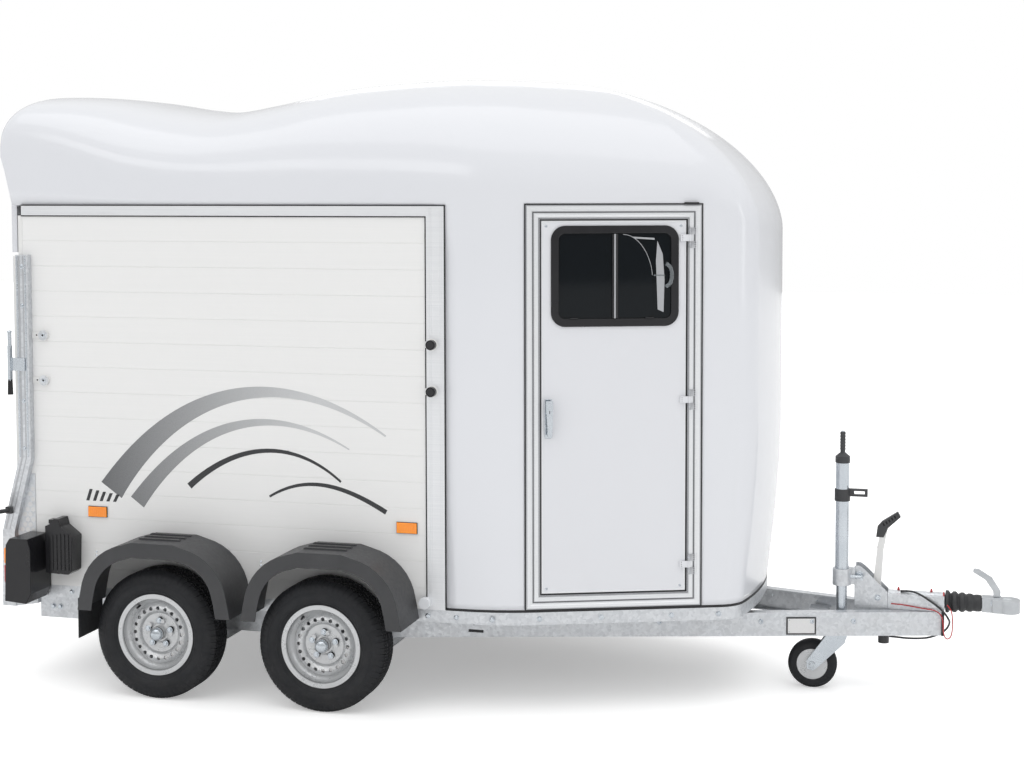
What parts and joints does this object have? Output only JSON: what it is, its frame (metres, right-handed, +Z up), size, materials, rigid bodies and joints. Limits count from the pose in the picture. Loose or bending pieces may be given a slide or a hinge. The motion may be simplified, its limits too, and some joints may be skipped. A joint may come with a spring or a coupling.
{
  "type": "two-stall horse trailer",
  "caption": "Tandem-axle horse trailer with moulded roof and nose, plank sides, side doors, rear ramp and braked V drawbar on a jockey wheel.",
  "frame": {"origin": "on the floor under the middle of the box round the whole trailer", "axes": "+X forward to the coupling, +Y to the left side, +Z up"},
  "size_m": [4.579, 2.2386, 2.7795],
  "materials": {
    "grp_white": "glossy moulded gelcoat",
    "plank_white": "satin coated aluminium planks",
    "rail_aluminium": "satin anodised",
    "floor_dark": "matt ribbed matting",
    "galvanised": "hot-dip galvanised, spangled",
    "black_plastic": "grained black moulding",
    "black_rubber": "matt rubber",
    "tyre_rubber": "matt tread and sidewall",
    "wheel_silver": "silver lacquer",
    "zinc": "bright zinc plate",
    "window_glass": "tinted acrylic",
    "red_cable": "red coated cable",
    "amber": "amber reflector",
    "lamp_white": "clear white lens",
    "leaf_white": "satin white sheet",
    "coated_steel": "white powder coat",
    "pad_black": "black coated tube"
  },
  "bodies": {
    "trailer": {"nose": "grp_white", "roof": "grp_white", "rear_header": "grp_white", "side_panel_right": "plank_white", "side_panel_left": "plank_white", "side_rails": "rail_aluminium", "floor_panel": "floor_dark", "floor_frame": "galvanised", "chassis": "galvanised", "axle_front": "galvanised", "axle_rear": "galvanised", "mudguards_right": "black_plastic", "mudguards_left": "black_plastic", "mudflaps": "black_rubber", "rear_posts": "galvanised", "rear_frame": "coated_steel", "ramp_hinges": "galvanised", "rear_lamps": "black_plastic", "marker_lamps": "black_rubber", "reflectors": "amber", "front_lamps": "lamp_white", "wheel_chocks": "black_plastic", "bar_knobs": "black_plastic", "bar_brackets": "zinc", "door_frame_right": "rail_aluminium", "door_frame_left": "rail_aluminium", "partition": "galvanised", "bars": "pad_black", "overrun_housing": "galvanised", "bellows": "black_rubber", "coupling_head": "zinc", "overrun_bracket": "galvanised", "handbrake": "coated_steel", "jockey_tube": "zinc", "jockey_grips": "black_plastic", "electric_cable": "black_rubber", "breakaway_cable": "red_cable", "drawbar_fittings": "black_plastic", "ramp_latches": "zinc"},
    "ramp": {"ramp": "plank_white", "ramp_rubber": "floor_dark"},
    "top_flap": {"top_flap": "grp_white"},
    "door_right": {"door_right": "leaf_white", "window_frame_right": "black_plastic", "window_pane_right": "window_glass", "door_handle_right": "rail_aluminium"},
    "door_left": {"door_left": "leaf_white", "window_frame_left": "black_plastic", "window_pane_left": "window_glass", "door_handle_left": "rail_aluminium"},
    "wheel_front_right": {"tyre_front_right": "tyre_rubber", "rim_front_right": "wheel_silver"},
    "wheel_front_left": {"tyre_front_left": "tyre_rubber", "rim_front_left": "wheel_silver"},
    "wheel_rear_right": {"tyre_rear_right": "tyre_rubber", "rim_rear_right": "wheel_silver"},
    "wheel_rear_left": {"tyre_rear_left": "tyre_rubber", "rim_rear_left": "wheel_silver"},
    "jockey_fork": {"jockey_fork": "galvanised"},
    "jockey_wheel": {"jockey_wheel": "black_rubber"}
  },
  "joints": [
    {"name": "wheel_front_right_spin", "type": "hinge", "parent": "trailer", "child": "wheel_front_right", "pos_m": [-0.643, -0.971, 0.29], "axis": [0, 1, 0], "continuous": true},
    {"name": "wheel_front_left_spin", "type": "hinge", "parent": "trailer", "child": "wheel_front_left", "pos_m": [-0.643, 0.971, 0.29], "axis": [0, 1, 0], "continuous": true},
    {"name": "wheel_rear_right_spin", "type": "hinge", "parent": "trailer", "child": "wheel_rear_right", "pos_m": [-1.431, -0.971, 0.29], "axis": [0, 1, 0], "continuous": true},
    {"name": "wheel_rear_left_spin", "type": "hinge", "parent": "trailer", "child": "wheel_rear_left", "pos_m": [-1.431, 0.971, 0.29], "axis": [0, 1, 0], "continuous": true},
    {"name": "ramp_hinge", "type": "hinge", "parent": "trailer", "child": "ramp", "pos_m": [-2.244, 0, 0.392], "axis": [0, -1, 0], "range_deg": [0, 103]},
    {"name": "top_flap_hinge", "type": "hinge", "parent": "trailer", "child": "top_flap", "pos_m": [-2.246, 0, 2.43], "axis": [0, 1, 0], "range_deg": [0, 80]},
    {"name": "door_right_hinge", "type": "hinge", "parent": "trailer", "child": "door_right", "pos_m": [0.88787, -0.57052, 1.36], "axis": [0, 0, 1], "range_deg": [0, 150]},
    {"name": "door_left_hinge", "type": "hinge", "parent": "trailer", "child": "door_left", "pos_m": [0.88787, 0.57052, 1.36], "axis": [0, 0, -1], "range_deg": [0, 150]},
    {"name": "jockey_swivel", "type": "hinge", "parent": "trailer", "child": "jockey_fork", "pos_m": [1.504, -0.078, 0.3], "axis": [0, 0, 1], "continuous": true},
    {"name": "jockey_wheel_spin", "type": "hinge", "parent": "jockey_fork", "child": "jockey_wheel", "pos_m": [1.377, -0.078, 0.11], "axis": [0, 1, 0], "continuous": true}
  ]
}
